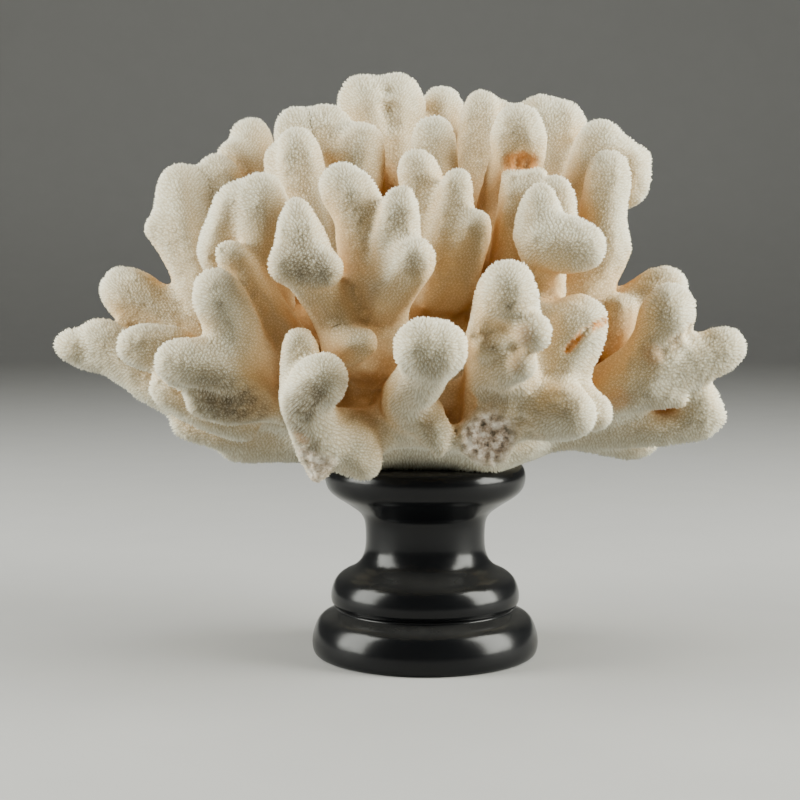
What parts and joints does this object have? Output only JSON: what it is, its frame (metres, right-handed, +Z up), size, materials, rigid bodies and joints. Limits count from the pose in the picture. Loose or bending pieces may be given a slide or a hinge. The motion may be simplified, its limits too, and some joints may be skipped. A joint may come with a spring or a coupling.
{
  "type": "coral specimen on stand",
  "caption": "Dried branching finger coral with blunt granular lobes, standing on a turned black-lacquered wooden stand.",
  "frame": {"origin": "centre of the underside of the stand's foot, on the surface that it stands on", "axes": "+Z up along the stand's turned axis; the coral's knobby front looks along -Y; +X is to the right of someone who looks at the front"},
  "size_m": [0.234, 0.2021, 0.2068],
  "materials": {
    "coral_skeleton": "matt, granular lime skeleton, whitish at the tips and tan to orange-brown in the recesses",
    "stand_lacquer": "black gloss lacquer on turned wood"
  },
  "bodies": {
    "root": {"stand": "stand_lacquer", "coral_base": "coral_skeleton", "branch_left_low": "coral_skeleton", "branch_left_front": "coral_skeleton", "branch_left_fingers": "coral_skeleton", "branch_left_upper": "coral_skeleton", "branch_left_inner": "coral_skeleton", "branch_left_tall": "coral_skeleton", "branch_left_crown": "coral_skeleton", "branch_front_head": "coral_skeleton", "branch_front_middle": "coral_skeleton", "branch_front_knob": "coral_skeleton", "branch_front_low": "coral_skeleton", "branch_front_right": "coral_skeleton", "branch_front_stump": "coral_skeleton", "branch_right_low": "coral_skeleton", "branch_right_head": "coral_skeleton", "branch_right_wing": "coral_skeleton", "branch_right_wing_low": "coral_skeleton", "branch_right_wing_back": "coral_skeleton", "branch_right_tall": "coral_skeleton", "branch_right_outer": "coral_skeleton", "branch_right_stub": "coral_skeleton", "branch_centre_fork": "coral_skeleton", "branch_centre": "coral_skeleton", "branch_right_rise": "coral_skeleton", "branch_right_crown": "coral_skeleton", "branch_middle_left": "coral_skeleton", "branch_middle_crown": "coral_skeleton", "branch_crown_top": "coral_skeleton", "branch_crown_far": "coral_skeleton", "branch_left_rise": "coral_skeleton", "branch_left_back": "coral_skeleton", "branch_back_left_high": "coral_skeleton", "branch_back_left": "coral_skeleton", "branch_back_left_low": "coral_skeleton", "branch_back_low_left": "coral_skeleton", "branch_back_crown": "coral_skeleton", "branch_back_centre": "coral_skeleton", "branch_back_low": "coral_skeleton", "branch_back_right_high": "coral_skeleton", "branch_back_right": "coral_skeleton", "branch_back_right_mid": "coral_skeleton", "branch_back_right_low": "coral_skeleton", "branch_back_low_right": "coral_skeleton"}
  },
  "joints": []
}
